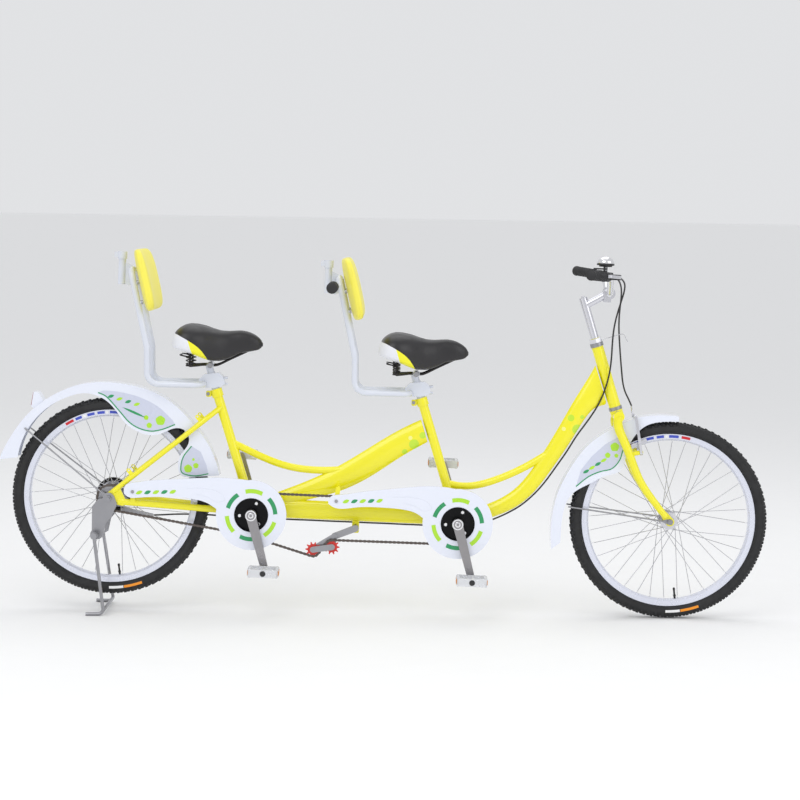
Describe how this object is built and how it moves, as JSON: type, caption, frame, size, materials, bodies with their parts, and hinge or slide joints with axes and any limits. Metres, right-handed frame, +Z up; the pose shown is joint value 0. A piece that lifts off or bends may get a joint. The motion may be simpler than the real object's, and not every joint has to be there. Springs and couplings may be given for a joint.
{
  "type": "tandem bicycle",
  "caption": "Two-seat tandem bicycle with step-through frame, backrests, fenders, chain guards and a two-leg rear stand, parked upright.",
  "frame": {"origin": "on the floor, under the middle of the bounding box of the parked bicycle", "axes": "+X forwards, +Y to the riders left, +Z up"},
  "size_m": [2.3104, 0.566, 1.0941],
  "materials": {
    "frame_yellow": "gloss",
    "guard_white": "gloss",
    "black_plastic": "matte",
    "black_steel": "satin",
    "tyre_rubber": "matte",
    "grip_rubber": "matte",
    "alloy": "satin",
    "bright_steel": "polished",
    "zinc_steel": "satin",
    "red_plastic": "satin",
    "pedal_plastic": "translucent",
    "vinyl": "satin",
    "yellow_vinyl": "satin"
  },
  "bodies": {
    "frame": {"head_tube": "frame_yellow", "down_tube": "frame_yellow", "main_tube": "frame_yellow", "bottom_tube": "frame_yellow", "seat_tubes": "frame_yellow", "step_tubes": "frame_yellow", "rear_stays": "frame_yellow", "frame_hardware": "zinc_steel", "rear_fender": "guard_white", "front_chain_guard": "guard_white", "rear_chain_guard": "guard_white", "rear_axle_fittings": "zinc_steel", "kickstand_bracket": "zinc_steel", "band_brake": "black_steel", "rear_brake_cable": "black_plastic", "chains": "zinc_steel", "tensioner_body": "zinc_steel"},
    "steering": {"fork": "frame_yellow", "stem": "alloy", "handlebar": "bright_steel", "grips": "grip_rubber", "lever_mounts": "black_plastic", "bell": "black_plastic", "front_fender": "guard_white", "front_axle_fittings": "zinc_steel", "front_brake_cable": "black_plastic"},
    "front_wheel": {"front_tyre": "tyre_rubber", "front_rim": "alloy", "front_spokes": "bright_steel", "front_hub": "alloy"},
    "rear_wheel": {"rear_tyre": "tyre_rubber", "rear_rim": "alloy", "rear_spokes": "bright_steel", "rear_hub": "alloy"},
    "rear_cranks": {"rear_crankset": "black_steel"},
    "front_cranks": {"front_crankset": "black_steel"},
    "freewheel_cog": {"freewheel": "zinc_steel"},
    "rear_right_pedal_body": {"rear_right_pedal": "pedal_plastic"},
    "rear_left_pedal_body": {"rear_left_pedal": "pedal_plastic"},
    "front_right_pedal_body": {"front_right_pedal": "pedal_plastic"},
    "front_left_pedal_body": {"front_left_pedal": "pedal_plastic"},
    "tensioner_arm": {"tensioner_cage": "zinc_steel"},
    "guide_wheel": {"guide_pulley": "red_plastic"},
    "tension_wheel": {"tension_pulley": "red_plastic"},
    "stand": {"kickstand_legs": "zinc_steel"},
    "right_lever": {"right_brake_lever": "alloy"},
    "left_lever": {"left_brake_lever": "alloy"},
    "right_caliper": {"right_brake_arm": "alloy"},
    "left_caliper": {"left_brake_arm": "alloy"},
    "band_arm": {"band_brake_arm": "zinc_steel"},
    "bell_trigger": {"bell_lever": "black_plastic"},
    "front_seat": {"front_seatpost": "alloy", "front_saddle": "vinyl", "front_backrest_frame": "frame_yellow", "front_backrest_pad": "yellow_vinyl", "stoker_handlebar": "grip_rubber"},
    "rear_seat": {"rear_seatpost": "alloy", "rear_saddle": "vinyl", "rear_backrest_frame": "frame_yellow", "rear_backrest_pad": "yellow_vinyl"}
  },
  "joints": [
    {"name": "steering_turn", "type": "hinge", "parent": "frame", "child": "steering", "pos_m": [0.68975, 0, 0.63787], "axis": [-0.3021, 0, 0.9533], "range_deg": [-60, 60], "deforming": ["rear_brake_cable"]},
    {"name": "front_wheel_spin", "type": "hinge", "parent": "steering", "child": "front_wheel", "pos_m": [0.85721, 0, 0.298], "axis": [0, 1, 0], "continuous": true},
    {"name": "rear_wheel_spin", "type": "hinge", "parent": "frame", "child": "rear_wheel", "pos_m": [-0.82212, 0, 0.34549], "axis": [0, 1, 0], "continuous": true},
    {"name": "rear_crank_spin", "type": "hinge", "parent": "frame", "child": "rear_cranks", "pos_m": [-0.39516, 0, 0.30241], "axis": [0, 1, 0], "continuous": true, "deforming": ["chains"]},
    {"name": "front_crank_spin", "type": "hinge", "parent": "frame", "child": "front_cranks", "pos_m": [0.22159, 0, 0.28497], "axis": [0, 1, 0], "continuous": true},
    {"name": "freewheel_spin", "type": "hinge", "parent": "frame", "child": "freewheel_cog", "pos_m": [-0.82212, 0, 0.34549], "axis": [0, 1, 0], "continuous": true},
    {"name": "tensioner_swing", "type": "hinge", "parent": "frame", "child": "tensioner_arm", "pos_m": [-0.14688, -0.05, 0.23836], "axis": [0, 1, 0], "range_deg": [-3, 6], "stiffness_Nm_per_rad": 6, "deforming": ["chains"]},
    {"name": "guide_pulley_spin", "type": "hinge", "parent": "tensioner_arm", "child": "guide_wheel", "pos_m": [-0.15375, -0.056, 0.20755], "axis": [0, 1, 0], "continuous": true},
    {"name": "tension_pulley_spin", "type": "hinge", "parent": "tensioner_arm", "child": "tension_wheel", "pos_m": [-0.21001, -0.056, 0.19913], "axis": [0, 1, 0], "continuous": true},
    {"name": "stand_fold", "type": "hinge", "parent": "frame", "child": "stand", "pos_m": [-0.86121, 0, 0.23656], "axis": [0, 1, 0], "range_deg": [0, 80]},
    {"name": "rear_right_pedal_spin", "type": "hinge", "parent": "rear_cranks", "child": "rear_right_pedal_body", "pos_m": [-0.35279, -0.144, 0.14294], "axis": [0, 1, 0], "continuous": true},
    {"name": "rear_left_pedal_spin", "type": "hinge", "parent": "rear_cranks", "child": "rear_left_pedal_body", "pos_m": [-0.43754, 0.144, 0.46187], "axis": [0, 1, 0], "continuous": true},
    {"name": "front_right_pedal_spin", "type": "hinge", "parent": "front_cranks", "child": "front_right_pedal_body", "pos_m": [0.26396, -0.144, 0.1255], "axis": [0, 1, 0], "continuous": true},
    {"name": "front_left_pedal_spin", "type": "hinge", "parent": "front_cranks", "child": "front_left_pedal_body", "pos_m": [0.17922, 0.144, 0.44443], "axis": [0, 1, 0], "continuous": true},
    {"name": "right_lever_pull", "type": "hinge", "parent": "steering", "child": "right_lever", "pos_m": [0.675, -0.13928, 1.02883], "axis": [-0.042, -0.0336, -0.9985], "range_deg": [0, 12], "stiffness_Nm_per_rad": 2, "deforming": ["rear_brake_cable"]},
    {"name": "left_lever_pull", "type": "hinge", "parent": "steering", "child": "left_lever", "pos_m": [0.675, 0.13928, 1.02883], "axis": [0.042, -0.0336, 0.9985], "range_deg": [0, 12], "stiffness_Nm_per_rad": 2, "deforming": ["front_brake_cable"]},
    {"name": "right_caliper_close", "type": "hinge", "parent": "steering", "child": "right_caliper", "pos_m": [0.76702, -0.043, 0.50463], "axis": [-0.986, 0, -0.1665], "range_deg": [0, 2.4]},
    {"name": "left_caliper_close", "type": "hinge", "parent": "steering", "child": "left_caliper", "pos_m": [0.76702, 0.043, 0.50463], "axis": [0.986, 0, 0.1665], "range_deg": [0, 2.4]},
    {"name": "band_arm_pull", "type": "hinge", "parent": "frame", "child": "band_arm", "pos_m": [-0.80937, 0.057, 0.30112], "axis": [0, -1, 0], "range_deg": [0, 8]},
    {"name": "bell_trigger_push", "type": "hinge", "parent": "steering", "child": "bell_trigger", "pos_m": [0.63887, -0.1587, 1.05355], "axis": [0.0283, 0, 0.9996], "range_deg": [0, 20], "stiffness_Nm_per_rad": 0.02},
    {"name": "front_seat_height", "type": "slide", "parent": "frame", "child": "front_seat", "axis": [-0.2955, 0, 0.9553], "range_m": [0, 0.06]},
    {"name": "rear_seat_height", "type": "slide", "parent": "frame", "child": "rear_seat", "axis": [-0.2955, 0, 0.9553], "range_m": [0, 0.06]}
  ],
  "couplings": [
    {"joint": "front_crank_spin", "follows": "rear_crank_spin", "ratio": 1},
    {"joint": "freewheel_spin", "follows": "rear_crank_spin", "ratio": 1.7778},
    {"joint": "guide_pulley_spin", "follows": "rear_crank_spin", "ratio": -3.2},
    {"joint": "tension_pulley_spin", "follows": "rear_crank_spin", "ratio": 3.2},
    {"joint": "left_caliper_close", "follows": "left_lever_pull", "ratio": 0.2},
    {"joint": "right_caliper_close", "follows": "left_lever_pull", "ratio": 0.2},
    {"joint": "band_arm_pull", "follows": "right_lever_pull", "ratio": 0.66667}
  ]
}
